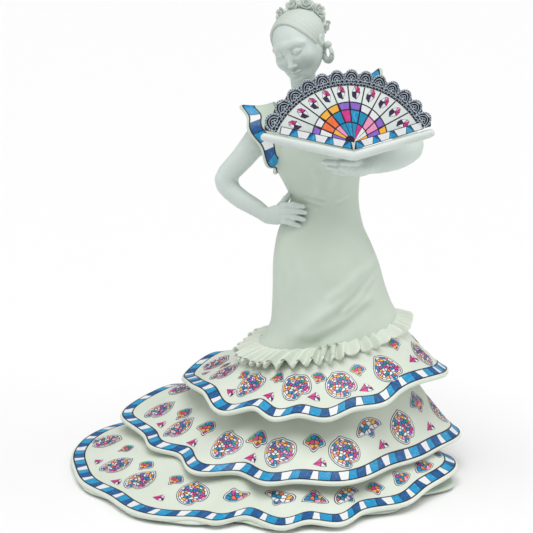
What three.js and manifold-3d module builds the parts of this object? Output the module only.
// A flamenco dancer with an open fan: a souvenir figurine in matt white bisque, about 250 mm tall.
// It is an assembly of castings luted together: a hollow underskirt, three flounces and a frill,
// the dress, head, hair, arms, hands, sleeves and a four-part fan. Nothing on it moves.
// Millimetres, +Z up, the dancer faces -Y, and the origin is on the table under the figure's middle.
import * as THREE from "three";
import { mergeVertices } from "three/addons/utils/BufferGeometryUtils.js";
import Module from "manifold-3d";

const wasm = await Module();
wasm.setup();

// ---- driving dimensions ----
const WALL = 3.4; // slip-cast wall of the hollow skirt and dress
const FLOUNCE = 2.8; // thickness of a flounce
const JOINT_GAP = 0.4; // left between castings where slip joins them
const PAD = { radius: 6, thickness: 1 };
const UNDERSIDE = PAD.thickness + 0.3; // height of the flat unglazed underside
const AROUND = 64; // steps round a flounce

// Hems: crests and hollows as [angle in degrees, radius, height] about the tier's own centre.
const LOWER_HEM = {
  centre: [0, 0],
  points: [
    [172, 104.5, 5], [185, 101, 5], [198, 98.5, 5], [211, 93, 5], [224, 94.5, 5], [238, 90, 5], [247, 84.5, 5],
    [254, 85, 5], [262, 77, 5.5], [275, 88.4, 5], [285, 84.5, 5.5], [293, 91, 5], [304, 86, 6], [319, 93, 6.5],
    [331, 94, 8.5], [345, 101.5, 11], [358, 97, 10], [10, 91, 7], [22, 95, 6], [34, 86, 5], [46, 92, 5],
    [58, 83, 5], [70, 89, 5], [82, 81, 5], [94, 88, 5], [106, 81, 5], [118, 88, 5], [132, 92, 6], [146, 97, 7.5],
    [159, 103, 7],
  ],
};
const MIDDLE_HEM = {
  centre: [10, 6],
  points: [
    [157, 94, 21], [170, 86, 20], [184, 74.5, 20], [200, 72, 20], [210, 65, 20], [222, 69, 20], [235, 73.5, 20],
    [248, 64, 20], [262, 74, 20], [274, 71, 20], [288, 77.5, 20], [303, 77.5, 20], [317, 74.5, 20], [331, 79.5, 20],
    [345, 85, 20], [358, 93.7, 20], [9, 90, 20], [21, 82, 20], [33, 85, 20], [45, 76, 20], [58, 80, 20], [71, 73, 20],
    [84, 77, 20], [97, 71, 20], [110, 78, 20], [122, 77, 22], [134, 81, 27], [146, 84, 28],
  ],
};
const UPPER_HEM = {
  centre: [28, 8],
  points: [
    [157, 77, 43.5], [171, 72, 45], [186, 67, 48], [203, 64, 49], [222, 65.5, 46], [236, 60, 50.5], [248, 63.5, 48],
    [258, 60.5, 50], [272, 64, 49.5], [285, 61, 53], [299, 64.5, 55], [309, 62, 58], [323, 63, 60.5], [336, 67, 60],
    [350, 68, 57], [4, 67, 55], [18, 61, 53], [32, 63, 52], [46, 57, 51], [60, 60, 50], [74, 54, 49], [88, 58, 48],
    [102, 54, 47], [117, 61, 46], [131, 67, 47], [144, 71, 50],
  ],
};
// The underskirt's ruffled foot, which shows as a lip under the lowest flounce.
const FOOT_HEM = {
  centre: [0, 0],
  points: [
    [187, 100, 0], [203, 97.5, 0], [214, 91, 0], [224, 95, 0], [236, 90.5, 0], [248, 85.5, 0], [261, 77, 0], [272, 84.5, 0],
    [283, 80, 0], [294, 86.5, 0], [305, 82.5, 0], [316, 90, 0], [330, 87, 0], [343, 101.5, 0], [354, 96, 0], [7, 92, 0],
    [19, 86, 0], [31, 89, 0], [43, 82, 0], [55, 86, 0], [67, 79, 0], [79, 84, 0], [91, 77, 0], [103, 83, 0],
    [115, 79, 0], [127, 86, 0], [140, 88, 0], [153, 98, 0], [170, 102, 0],
  ],
};
// The smooth ellipses, sloping to one side, on which the tiers' upper edges lie.
const LOWER_TOP = { centre: [22, 6], across: 52, deep: 45, height: 25, slope: 0 };
const MIDDLE_TOP = { centre: [32, 8], across: 45, deep: 41, height: 50, slope: 0.06 };
const UPPER_TOP = { centre: [34.5, 8], across: 37.6, deep: 34.4, height: 71.5, slope: 0.2 };
const FRILL_HEM = { centre: [30, 8], across: 45.4, deep: 38.8, height: 72, slope: 0.2, waves: 19, wave: 1.6 };
const FRILL_TOP = { centre: [32.5, 8], across: 36.4, deep: 32, height: 78, slope: 0.2 };

const BORE = { centre: [6, 2], across: 62, deep: 54 }; // the underskirt's open bottom
const VENT_RADIUS = 7; // casting vent through the closing plate

// The dress, from knee to shoulder: [height, centre x, centre y, half width, half depth, side slope].
const DRESS = [
  [72, 32.6, 8, 37.4, 32, 0.2],
  [76, 34.6, 8, 34.6, 30.6, 0.2],
  [82, 35.1, 8, 32.8, 29.7, 0.19],
  [88, 34.6, 8, 31.4, 28.6, 0.12],
  [100, 33.2, 8, 29.4, 26.8, 0.04],
  [113, 31.6, 8.2, 27.6, 25, 0],
  [123, 30.2, 8.6, 25, 22, 0],
  [131, 29.3, 9, 22.2, 18.4, 0],
  [139, 30, 9.2, 19.4, 15.2, 0],
  [147, 30.6, 9, 17.8, 13.6, 0],
  [155, 29.2, 8.6, 19.4, 14.4, 0.02],
  [164, 27.6, 7.6, 22, 16, 0.06],
  [174, 26.8, 6.6, 23.6, 17.4, 0.12],
  [183, 26.6, 7.2, 24.6, 16, 0.18],
  [191, 26.4, 8.6, 25.6, 13, 0.2],
  [197, 25.6, 9.6, 22, 10.6, 0.2],
  [201, 24, 10, 13, 8.6, 0.16],
];

const HEAD = { centre: [15.6, 2, 230.6], yaw: -27, bow: 7, lean: -21 }; // degrees
const EARRING = { radius: 4, wire: 1.1, turn: -58 }; // one hoop shows; the other ear is hidden
const RIGHT_ARM = {
  path: [[9, 8.5, 186], [0, 9, 182.5], [-11.5, 11, 168], [-21, 12.8, 156], [-15, 10.5, 148], [-5, 6.5, 142.4], [1, 3.4, 138.8]],
  radii: [6.4, 6.8, 6.1, 5.5, 5.1, 4.5, 3.7],
};
const LEFT_ARM = {
  path: [[47, 8.5, 198], [55, 8.5, 196.5], [66, 7, 186], [75, 4.2, 176], [69, -3, 172], [60, -11, 170.8], [52, -18, 170.2]],
  radii: [6.2, 6.6, 6, 6.1, 6.3, 5.9, 4.6],
};
// Fan: a flat plate whose point is at this place, leaning back and turned a little.
const FAN = { point: [43.6, -31, 180], lean: 13, turn: 5 };
const LEAF = { arc: [-2.4, -7.4], radius: 39.8, thickness: 2.2 };
const LACE = { radius: 45.6, scallops: 13, depth: 1.5, thickness: 3 };
const GUARD = { left: 167, right: 15.5, leftLength: 46.5, rightLength: 41.5, width: 5, thickness: 5 };

// ---- helpers ----
const rad = THREE.MathUtils.degToRad;
const group = new THREE.Group();

const finish = (name, colour, roughness = 0.8, metalness = 0) =>
  Object.assign(new THREE.MeshStandardMaterial({ color: colour, roughness, metalness }), { name });
const bisque = finish("white_bisque", 0xe9ede4);
const skin = finish("skin_bisque", 0xe4eae6, 0.7);
const fanWhite = finish("fan_white", 0xe6eae6, 0.6);
const laceSilver = finish("lace_silver", 0x8fa3b5, 0.45, 0.3);
const felt = finish("felt", 0x2f4a3a, 1);

function add(name, geometry, material, parent = group) {
  const mesh = new THREE.Mesh(geometry, material);
  mesh.name = name;
  parent.add(mesh);
  return mesh;
}

// A closed geometry from rows of points: each row is one ring, and the faces are turned to point out.
function fromRows(rows, { closedRows = false, caps = true } = {}) {
  const count = rows[0].length;
  const positions = rows.flat().flatMap((p) => [p.x, p.y, p.z]);
  const index = [];
  const lastRow = closedRows ? rows.length : rows.length - 1;
  for (let i = 0; i < lastRow; i++)
    for (let j = 0; j < count; j++) {
      const a = i * count + j;
      const b = i * count + ((j + 1) % count);
      const c = ((i + 1) % rows.length) * count + ((j + 1) % count);
      const d = ((i + 1) % rows.length) * count + j;
      index.push(a, b, c, a, c, d);
    }
  if (caps && !closedRows)
    for (const [row, flip] of [[0, true], [rows.length - 1, false]]) {
      const middle = rows[row].reduce((s, p) => s.add(p), new THREE.Vector3()).divideScalar(count);
      const m = positions.length / 3;
      positions.push(middle.x, middle.y, middle.z);
      for (let j = 0; j < count; j++) {
        const a = row * count + j;
        const b = row * count + ((j + 1) % count);
        index.push(m, flip ? b : a, flip ? a : b);
      }
    }
  const geometry = new THREE.BufferGeometry();
  geometry.setAttribute("position", new THREE.Float32BufferAttribute(positions, 3));
  geometry.setIndex(index);
  return signedVolume(geometry) < 0 ? reversed(geometry) : geometry;
}

function signedVolume(geometry) {
  const p = geometry.getAttribute("position");
  const i = geometry.index.array;
  const [a, b, c] = [new THREE.Vector3(), new THREE.Vector3(), new THREE.Vector3()];
  let sum = 0;
  for (let k = 0; k < i.length; k += 3) {
    a.fromBufferAttribute(p, i[k]);
    b.fromBufferAttribute(p, i[k + 1]);
    c.fromBufferAttribute(p, i[k + 2]);
    sum += a.dot(b.cross(c));
  }
  return sum / 6;
}

function reversed(geometry) {
  const i = geometry.index.array;
  for (let k = 0; k < i.length; k += 3) [i[k + 1], i[k + 2]] = [i[k + 2], i[k + 1]];
  return geometry;
}

function merged(geometry) {
  const bare = geometry.clone();
  for (const name of Object.keys(bare.attributes)) if (name !== "position") bare.deleteAttribute(name);
  return mergeVertices(bare, 1e-3);
}

function toSolid(geometry, matrix) {
  const m = merged(matrix ? geometry.clone().applyMatrix4(matrix) : geometry);
  return new wasm.Manifold(
    new wasm.Mesh({
      numProp: 3,
      vertProperties: new Float32Array(m.attributes.position.array),
      triVerts: new Uint32Array(m.index.array),
    }),
  );
}

function toGeometry(solid) {
  const pieces = solid.decompose().sort((a, b) => b.volume() - a.volume());
  const mesh = pieces[0].getMesh(); // crumbs left by a cut are dropped
  const geometry = new THREE.BufferGeometry();
  geometry.setAttribute("position", new THREE.BufferAttribute(new Float32Array(mesh.vertProperties), 3));
  geometry.setIndex(new THREE.BufferAttribute(new Uint32Array(mesh.triVerts), 1));
  return geometry;
}

// The same shape with its surface moved outwards, to cut a joint's clearance from a neighbour.
function grown(geometry, by = JOINT_GAP) {
  const m = merged(geometry);
  m.computeVertexNormals();
  const p = m.getAttribute("position");
  const n = m.getAttribute("normal");
  for (let i = 0; i < p.count; i++)
    p.setXYZ(i, p.getX(i) + n.getX(i) * by, p.getY(i) + n.getY(i) * by, p.getZ(i) + n.getZ(i) * by);
  return m;
}

function cut(geometry, ...others) {
  return toGeometry(others.reduce((s, o) => s.subtract(toSolid(grown(o))), toSolid(geometry)));
}

function join(...geometries) {
  return toGeometry(geometries.map((g) => toSolid(g)).reduce((a, b) => a.add(b)));
}

// A smooth closed line through a hem's crests and hollows.
function hemLine({ centre, points }) {
  const line = new THREE.CatmullRomCurve3(
    points.map(([angle, radius, height]) =>
      new THREE.Vector3(centre[0] + radius * Math.cos(rad(angle)), centre[1] + radius * Math.sin(rad(angle)), height)),
    true,
  );
  const first = points[0][0];
  const turn = new THREE.CatmullRomCurve3(
    points.map(([angle], i) => new THREE.Vector3(i && angle < first ? angle + 360 : angle, 0, 0)),
  );
  return { line, turn };
}

// An ellipse that slopes to one side, as a function of the angle in radians.
const ring = ({ centre, across, deep, height, slope = 0, waves = 0, wave = 0, turn = 0 }) => (angle) => {
  const ripple = 1 + (wave / across) * Math.cos(waves * angle + turn);
  const x = centre[0] + across * ripple * Math.cos(angle);
  const y = centre[1] + deep * ripple * Math.sin(angle);
  return new THREE.Vector3(x, y, height + slope * (x - centre[0]));
};

// A flounce: a curved sheet of even thickness from its upper edge to its hem, swept all round.
function flounce(top, hem, { steps = 5, thickness = FLOUNCE, flare = 1.25 } = {}) {
  const outer = [];
  for (let i = 0; i < AROUND; i++) {
    const low = hem(i / AROUND);
    const angle = Math.atan2((low.y - top.centre[1]) / top.deep, (low.x - top.centre[0]) / top.across);
    const high = ring(top)(angle);
    outer.push(
      Array.from({ length: steps + 1 }, (_, k) => {
        const t = k / steps;
        const p = high.clone().lerp(low, t);
        p.z = THREE.MathUtils.lerp(high.z, low.z, 1 - (1 - t) ** flare);
        return p;
      }),
    );
  }
  const sections = outer.map((line, i) => {
    const before = outer[(i + AROUND - 1) % AROUND];
    const after = outer[(i + 1) % AROUND];
    const inner = line.map((p, k) => {
      const down = line[Math.min(k + 1, steps)].clone().sub(line[Math.max(k - 1, 0)]);
      const along = after[k].clone().sub(before[k]);
      const out = along.cross(down).normalize();
      if (out.z < 0) out.negate();
      return p.clone().addScaledVector(out, -thickness);
    });
    return [...line, ...inner.reverse()];
  });
  return fromRows(sections, { closedRows: true });
}

const hemAt = (hem) => {
  const { line } = hemLine(hem);
  return (share) => line.getPoint(share);
};

// A round limb along a smooth path whose radius changes, with rounded ends.
function limb({ path, radii }, { sides = 14, steps = 18, flat = 1 } = {}) {
  const curve = new THREE.CatmullRomCurve3(path.map((p) => new THREE.Vector3(...p)));
  const widths = new THREE.CatmullRomCurve3(radii.map((r, i) => new THREE.Vector3(i, r, 0)));
  const frames = curve.computeFrenetFrames(steps, false);
  const rows = [];
  for (let i = 0; i <= steps; i++) {
    const middle = curve.getPoint(i / steps);
    const radius = widths.getPoint(i / steps).y;
    rows.push(
      Array.from({ length: sides }, (_, j) => {
        const a = (j / sides) * 2 * Math.PI;
        return middle.clone()
          .addScaledVector(frames.normals[i], radius * Math.cos(a))
          .addScaledVector(frames.binormals[i], radius * flat * Math.sin(a));
      }),
    );
  }
  return fromRows(rows);
}

function ball(centre, radii, turn = [0, 0, 0], across = 16, up = 10) {
  const geometry = new THREE.SphereGeometry(1, across, up);
  geometry.rotateX(Math.PI / 2);
  geometry.scale(...radii);
  geometry.rotateX(rad(turn[0]));
  geometry.rotateY(rad(turn[1]));
  geometry.rotateZ(rad(turn[2]));
  geometry.translate(...centre);
  return merged(geometry);
}

// ---- skirt ----
const bore = ring({ ...BORE, height: UNDERSIDE });

function underskirt() {
  // [share of the way from foot to tier top, height] up the outside, under the flounces
  const lowTop = ring({ ...LOWER_TOP, across: LOWER_TOP.across - 1, deep: LOWER_TOP.deep - 1, height: 20 });
  const midTop = ring({ ...MIDDLE_TOP, across: MIDDLE_TOP.across - 7, deep: MIDDLE_TOP.deep - 7, height: 44 });
  const neck = ring({ ...UPPER_TOP, across: UPPER_TOP.across - 7, deep: UPPER_TOP.deep - 7, height: 66 });
  const foot = hemAt(FOOT_HEM);
  const sections = Array.from({ length: AROUND }, (_, i) => {
    const edge = foot(i / AROUND);
    edge.z = UNDERSIDE;
    const a = Math.atan2((edge.y - BORE.centre[1]) / BORE.deep, (edge.x - BORE.centre[0]) / BORE.across);
    const shoulder = edge.clone().lerp(lowTop(a), 0.34);
    shoulder.z = 7.5;
    const inward = (p, by, drop = 0) => {
      const c = new THREE.Vector3(BORE.centre[0], BORE.centre[1], p.z);
      const q = c.clone().sub(p).setLength(by).add(p);
      q.z = p.z - drop;
      return q;
    };
    const lip = inward(edge, 0.6);
    lip.z = UNDERSIDE + 2.2;
    const boreTop = bore(a);
    boreTop.z = 8;
    return [
      edge, lip, shoulder, lowTop(a), midTop(a), neck(a),
      inward(neck(a), WALL), inward(midTop(a), WALL), inward(lowTop(a), WALL, 2), boreTop, bore(a),
    ];
  });
  return fromRows(sections, { closedRows: true });
}

function buildSkirt() {
  const frillEdge = ring(FRILL_HEM);
  const gathered = flounce(FRILL_TOP, (s) => frillEdge(s * 2 * Math.PI), { steps: 3, thickness: 2, flare: 1.2 });
  const frill = cut(gathered, dressOuter());
  const upper = cut(flounce(UPPER_TOP, hemAt(UPPER_HEM)), dressOuter(), frill);
  const middle = cut(flounce(MIDDLE_TOP, hemAt(MIDDLE_HEM)), upper);
  const lower = cut(flounce(LOWER_TOP, hemAt(LOWER_HEM)), middle);
  add("underskirt", cut(underskirt(), lower, middle, upper), bisque);
  add("lower_flounce", lower, bisque);
  add("middle_flounce", middle, bisque);
  add("upper_flounce", upper, bisque);
  add("knee_frill", frill, bisque);

  const plate = new THREE.Shape();
  plate.absellipse(BORE.centre[0], BORE.centre[1], BORE.across - JOINT_GAP, BORE.deep - JOINT_GAP, 0, 2 * Math.PI);
  const vent = new THREE.Path();
  vent.absellipse(BORE.centre[0], BORE.centre[1], VENT_RADIUS, VENT_RADIUS, 0, 2 * Math.PI);
  plate.holes.push(vent);
  const closing = new THREE.ExtrudeGeometry(plate, { depth: 4.5, bevelEnabled: false, curveSegments: 28 });
  add("closing_plate", closing, bisque).position.z = UNDERSIDE;

  for (let i = 0; i < 4; i++) {
    const a = rad(45 + 90 * i);
    const pad = add(`felt_pad_${i + 1}`, new THREE.CylinderGeometry(PAD.radius, PAD.radius, PAD.thickness, 24), felt);
    pad.rotation.x = Math.PI / 2;
    pad.position.set(75 * Math.cos(a), 68 * Math.sin(a), PAD.thickness / 2);
  }
}

// ---- dress, head and hair ----
function dressRing([height, x, y, across, deep, slope], sides, thinner = 0) {
  return Array.from({ length: sides }, (_, j) => {
    const a = (j / sides) * 2 * Math.PI;
    const px = (across - thinner) * Math.cos(a);
    return new THREE.Vector3(x + px, y + (deep - thinner) * Math.sin(a), height + slope * px);
  });
}
const dressOuter = () => fromRows(DRESS.map((s) => dressRing(s, 28)));
function dress() {
  const hollow = DRESS.slice(0, 13).map((s, i) => dressRing(i ? s : [s[0] - 6, ...s.slice(1)], 20, WALL));
  return toGeometry(toSolid(dressOuter()).subtract(toSolid(fromRows(hollow))));
}

const headPlace = new THREE.Matrix4()
  .makeRotationFromEuler(new THREE.Euler(rad(HEAD.bow), rad(HEAD.lean), rad(HEAD.yaw), "YZX"))
  .setPosition(...HEAD.centre);
const inHead = (geometry) => geometry.applyMatrix4(headPlace);

function headShape(dressSolid) {
  const neck = limb({ path: [[21.5, 10, 192], [21, 9.5, 200], [19.5, 7, 208], [17.5, 5.5, 220]], radii: [9.5, 7.4, 7, 7] });
  const cranium = inHead(ball([0, 2, 0.8], [12.4, 14, 12.8], [0, 0, 0], 18, 12));
  const face = inHead(ball([0, -4.6, -5.4], [10.6, 10.8, 13.2], [12, 0, 0], 18, 12));
  const chin = inHead(ball([0, -10.6, -15.2], [4.6, 3.8, 3.6]));
  const nose = inHead(limb({ path: [[0, -13.2, 0], [0, -15.4, -5], [0, -16.8, -8.6]], radii: [1, 1.3, 1.7] }, { sides: 8, steps: 5 }));
  const lips = inHead(ball([0, -13.9, -12.6], [3.2, 1.3, 1.2], [0, 0, 0], 12, 8));
  const lids = [-1, 1].map((side) => inHead(ball([side * 4.4, -13, -1.9], [2.5, 1.4, 1.6], [0, 0, side * 18], 12, 8)));
  const ears = [-1, 1].map((side) => inHead(ball([side * 13, 0.8, -4.6], [1.3, 2.5, 3.7], [-10, 0, 0], 10, 8)));
  return cut(join(cranium, face, neck, chin, nose, lips, ...lids, ...ears), dressSolid);
}

function hairShape(head) {
  const cap = inHead(ball([0, 3, 1.4], [14.2, 15.9, 14.3], [0, 0, 0], 20, 13));
  const faceOpening = inHead(ball([-1.5, -17, -7.6], [15.6, 17, 20.6], [-8, -14, 0], 20, 12));
  return toGeometry(toSolid(cap).subtract(toSolid(grown(head))).subtract(toSolid(faceOpening)));
}

// A blossom or a curl of hair: a flattened ball that flares to its rim.
function blossom(radius, height) {
  const outline = [[0, 0], [radius * 0.5, 0], [radius, height * 0.55], [radius * 0.9, height * 0.9], [radius * 0.4, height], [0, height * 0.85]];
  const lathe = new THREE.LatheGeometry(outline.map(([r, z]) => new THREE.Vector2(r, z)), 14);
  return merged(lathe.rotateX(Math.PI / 2));
}

// The gathered curls behind the crown, and the blossoms round them.
const BUN = { centre: [21, 15, 238.6], radii: [10.4, 8.4, 9.4] };
const BLOSSOMS = [[11.6, 9, 242.8], [16, 7.5, 246], [22.4, 8, 246], [28, 9.5, 241.6], [29.6, 10, 234.6]];

function buildHead() {
  const dressSolid = dressOuter();
  const head = headShape(dressSolid);
  add("head", head, skin);
  const hair = hairShape(head);
  const bun = cut(ball(BUN.centre, BUN.radii, [0, 0, 0], 18, 12), hair, head);
  add("hair_bun", bun, bisque);
  const blossoms = [];
  BLOSSOMS.forEach((place, i) => {
    const outward = new THREE.Vector3(...place).sub(new THREE.Vector3(...BUN.centre)).normalize();
    const turn = new THREE.Quaternion().setFromUnitVectors(new THREE.Vector3(0, 0, 1), outward);
    const shape = blossom(4.2, 4).translate(0, 0, -1.6).applyQuaternion(turn).translate(...place);
    blossoms.push(cut(shape, hair, bun, head, ...blossoms));
    add(`hair_flower_${i + 1}`, blossoms[i], bisque);
  });
  add("hair", hair, bisque);
  const lobe = new THREE.Vector3(14.6, 1, -8.2).applyMatrix4(headPlace);
  const hoop = new THREE.TorusGeometry(EARRING.radius, EARRING.wire, 8, 20);
  hoop.rotateX(Math.PI / 2).rotateZ(rad(EARRING.turn)).translate(lobe.x, lobe.y, lobe.z - EARRING.radius);
  add("left_earring", cut(hoop, head, hair), bisque);
  return { head, dressSolid };
}

// ---- arms, hands and sleeves ----
function hand(palm, fingers) {
  return join(limb(palm, { sides: 12, steps: 6, flat: 0.62 }), ...fingers.map((f) => limb(f, { sides: 8, steps: 6 })));
}

const RIGHT_HAND = {
  palm: { path: [[1.4, 3.2, 138.6], [5.5, 1, 139.8], [11.5, -1.6, 141.4]], radii: [3.6, 5.2, 4.6] },
  fingers: [
    [[9, -1, 145], [14, -3.4, 146], [19.4, -4.6, 145.6]],
    [[9, -1.6, 142.6], [14.5, -4, 143.2], [20.4, -5.4, 142.6]],
    [[9, -1.6, 140.2], [14.5, -4, 140], [19.8, -5.4, 139]],
    [[9, -1.4, 138], [13.5, -3.4, 136.8], [17.8, -4.6, 135.2]],
    [[7, 2.4, 143], [10.5, 3.4, 147.6], [13.2, 5, 151]],
  ],
};
const LEFT_HAND = {
  palm: { path: [[51.6, -18.4, 170], [46.5, -22.8, 170], [40.5, -24.8, 172]], radii: [4.8, 6, 5] },
  fingers: [
    [[42, -24.4, 174.6], [36, -25.6, 175.8], [30.4, -25.6, 176]],
    [[42, -24.8, 172.4], [35, -26.2, 173], [29, -26, 173.4]],
    [[42, -24.6, 170], [36, -26, 170.2], [31, -26, 170.8]],
    [[43, -24, 168.4], [38.5, -25.2, 168], [34.2, -25.4, 168.4]],
    [[47, -24.6, 172.6], [44.6, -28, 173.2], [38, -30.4, 173.6]],
  ],
};
const fingerOf = (path) => ({ path, radii: [1.7, 1.55, 1.15] });

// A sleeve: a short flared shell from the shoulder out to a wavy rim round the arm.
function sleeve({ shoulder, rim, rimRadii, shoulderRadii, lift }) {
  const axis = new THREE.Vector3(...rim).sub(new THREE.Vector3(...shoulder)).normalize();
  const back = new THREE.Vector3(0, 1, 0).addScaledVector(axis, -axis.y).normalize();
  const up = new THREE.Vector3().crossVectors(back, axis).normalize();
  if (up.z < 0) up.negate();
  const rows = [];
  const steps = 36;
  for (let i = 0; i < steps; i++) {
    const a = (i / steps) * 2 * Math.PI;
    const wave = 1 + 0.07 * Math.cos(6 * a + 0.6);
    const at = (centre, [tall, deep], shift) =>
      new THREE.Vector3(...centre)
        .addScaledVector(up, tall * Math.cos(a))
        .addScaledVector(back, deep * Math.sin(a))
        .addScaledVector(axis, shift);
    const thin = 2.2;
    const high = at(shoulder, shoulderRadii, 0);
    const low = at(rim, [rimRadii[0] * wave, rimRadii[1] * wave], lift * Math.cos(6 * a + 0.6));
    const middle = high.clone().lerp(low, 0.55).addScaledVector(up, -1.1 * Math.cos(a)).addScaledVector(back, -1.1 * Math.sin(a));
    const inside = (p, c) => p.clone().lerp(new THREE.Vector3(...c).addScaledVector(axis, 0.4), thin / 15);
    rows.push([high, middle, low, inside(low, rim), inside(middle, shoulder), inside(high, shoulder)]);
  }
  return fromRows(rows, { closedRows: true });
}

const RIGHT_SLEEVE = { shoulder: [9, 8.6, 184.6], rim: [-4.8, 5, 178.2], rimRadii: [19, 14.2], shoulderRadii: [14.5, 12.6], lift: 0.8 };
const LEFT_SLEEVE = { shoulder: [46.5, 8.8, 195], rim: [56.6, 6.6, 196.4], rimRadii: [17.6, 13.6], shoulderRadii: [13.6, 12.4], lift: 0.8 };

function buildArms(dressSolid) {
  for (const [side, arm, handShape, sleeveShape] of [
    ["right", RIGHT_ARM, RIGHT_HAND, RIGHT_SLEEVE],
    ["left", LEFT_ARM, LEFT_HAND, LEFT_SLEEVE],
  ]) {
    const armSolid = cut(limb(arm), dressSolid);
    add(`${side}_arm`, armSolid, skin);
    const whole = hand(handShape.palm, handShape.fingers.map(fingerOf));
    const keepOff = side === "left" ? fanBars() : [];
    add(`${side}_hand`, cut(whole, limb(arm), dressSolid, ...keepOff), skin);
    add(`${side}_sleeve`, cut(sleeve(sleeveShape), dressSolid, limb(arm)), bisque);
  }
}

// ---- fan ----
const fan = new THREE.Group();
fan.position.set(...FAN.point);
fan.rotation.set(Math.PI / 2 - rad(FAN.lean), 0, rad(FAN.turn), "ZXY");
fan.updateMatrix();

// Where a ray from the fan's point at this angle meets a circle about the arc's centre.
function onArc(degrees, radius) {
  const way = new THREE.Vector2(Math.cos(rad(degrees)), Math.sin(rad(degrees)));
  const centre = new THREE.Vector2(...LEAF.arc);
  const along = way.dot(centre);
  const reach = along + Math.sqrt(along ** 2 - centre.lengthSq() + radius ** 2);
  return way.multiplyScalar(reach);
}
const plate = (points, depth, z) =>
  merged(new THREE.ExtrudeGeometry(new THREE.Shape(points), { depth, bevelEnabled: false }).translate(0, 0, z));

function leaf() {
  const rim = Array.from({ length: 33 }, (_, i) => onArc(THREE.MathUtils.lerp(GUARD.right + 2, GUARD.left - 2, i / 32), LEAF.radius));
  return plate([new THREE.Vector2(0, 0.6), ...rim], LEAF.thickness, -LEAF.thickness / 2);
}

function lace() {
  const steps = LACE.scallops * 6;
  const points = [];
  for (let i = 0; i <= steps; i++) {
    const share = i / steps;
    const bulge = LACE.depth * Math.abs(Math.sin(share * LACE.scallops * Math.PI));
    points.push(onArc(THREE.MathUtils.lerp(GUARD.right + 1, GUARD.left - 1, share), LACE.radius + bulge));
  }
  for (let i = 32; i >= 0; i--)
    points.push(onArc(THREE.MathUtils.lerp(GUARD.right + 2, GUARD.left - 2, i / 32), LEAF.radius + JOINT_GAP));
  return plate(points, LACE.thickness, -LACE.thickness / 2);
}

function guard(degrees, length, start) {
  const bar = new THREE.Shape();
  const w = GUARD.width / 2;
  bar.absellipse(0, 0, w, GUARD.thickness / 2, 0, 2 * Math.PI);
  const geometry = new THREE.ExtrudeGeometry(bar, { depth: length - start, bevelEnabled: false, curveSegments: 8 });
  geometry.rotateY(Math.PI / 2).rotateX(Math.PI / 2).translate(start, 0, 0);
  const side = degrees > 90 ? 1 : -1;
  geometry.translate(0, side * (w + JOINT_GAP / 2 - 0.4), 0).rotateZ(rad(degrees));
  return merged(geometry);
}
const guards = () => {
  const left = guard(GUARD.left, GUARD.leftLength, -1.5);
  const right = cut(guard(GUARD.right, GUARD.rightLength, -1.5), left);
  return { left, right };
};
function fanBars() {
  const { left, right } = guards();
  return [left, right, leaf()].map((g) => g.clone().applyMatrix4(fan.matrix));
}

function buildFan() {
  const { left, right } = guards();
  add("fan_right_guard", right, fanWhite, fan);
  add("fan_left_guard", left, fanWhite, fan);
  add("fan_leaf", cut(leaf(), left, right), fanWhite, fan);
  add("fan_lace", cut(lace(), left, right), laceSilver, fan);
  group.add(fan);
}

buildSkirt();
add("dress", dress(), bisque);
const { dressSolid } = buildHead();
buildArms(dressSolid);
buildFan();

export default group;
